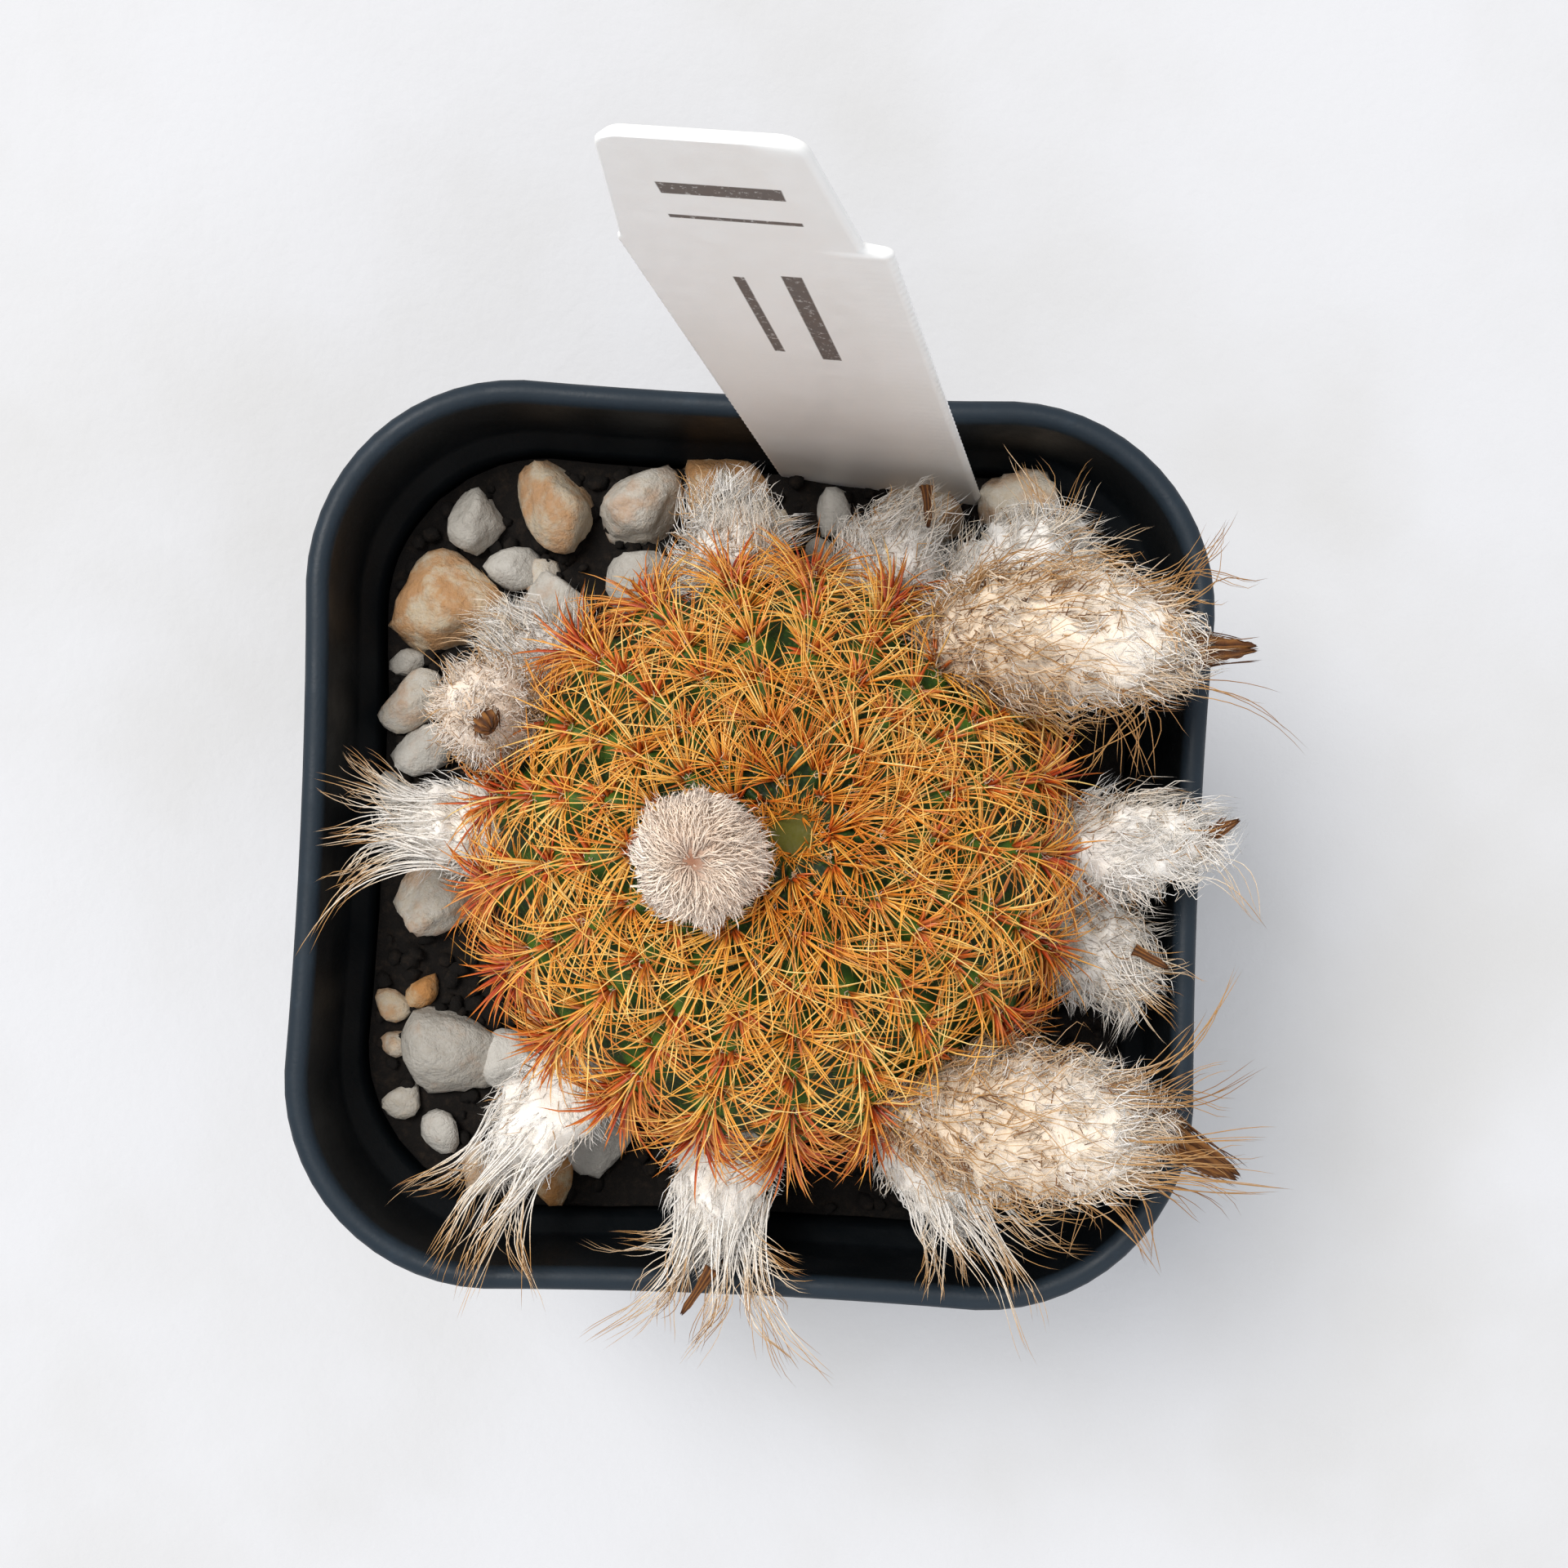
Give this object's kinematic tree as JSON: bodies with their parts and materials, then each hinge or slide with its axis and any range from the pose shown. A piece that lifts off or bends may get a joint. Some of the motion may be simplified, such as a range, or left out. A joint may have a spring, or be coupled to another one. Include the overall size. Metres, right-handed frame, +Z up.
{
  "type": "potted frailea cactus",
  "caption": "Small round golden-spined cactus with woolly fruits, planted in pebbles in a square plastic nursery pot with a blank plant label.",
  "frame": {"origin": "middle of the pot's flat base, on the surface it stands on", "axes": "+Z up, +X to the right and +Y away from the viewer towards the side where the plant label stands"},
  "size_m": [0.0653, 0.0667, 0.1026],
  "materials": {
    "pot_plastic": "matte blue-black injection moulded polypropylene",
    "potting_soil": "dark gritty potting mix",
    "pebble_stone": "pale rough pumice and quartz pebbles with ochre stains",
    "cactus_skin": "waxy green ribbed skin with golden and red-brown spines",
    "root_bark": "dry brown root",
    "label_plastic": "white satin plastic strip with plain dark ruled lines",
    "dry_wool": "cream and white plant wool with tan bristles",
    "dry_flower": "papery brown dried petals"
  },
  "bodies": {
    "root": {"pot": "pot_plastic", "soil": "potting_soil", "gravel": "pebble_stone", "cactus_body": "cactus_skin", "taproot": "root_bark", "plant_label": "label_plastic", "bud_top": "dry_wool", "fruit_upper_right": "dry_wool", "fruit_lower_right": "dry_wool", "fruit_left": "dry_wool", "tuft_left": "dry_wool", "tuft_lower_left": "dry_wool", "tuft_bottom": "dry_wool", "tuft_lower_right": "dry_wool", "tuft_right_low": "dry_wool", "tuft_right": "dry_wool", "tuft_upper_right": "dry_wool", "tuft_top_right": "dry_wool", "tuft_top": "dry_wool", "tuft_upper_left": "dry_wool", "dried_flower_upper_right": "dry_flower", "dried_flower_lower_right": "dry_flower", "dried_flower_left": "dry_flower", "dried_flower_right": "dry_flower"}
  },
  "joints": []
}
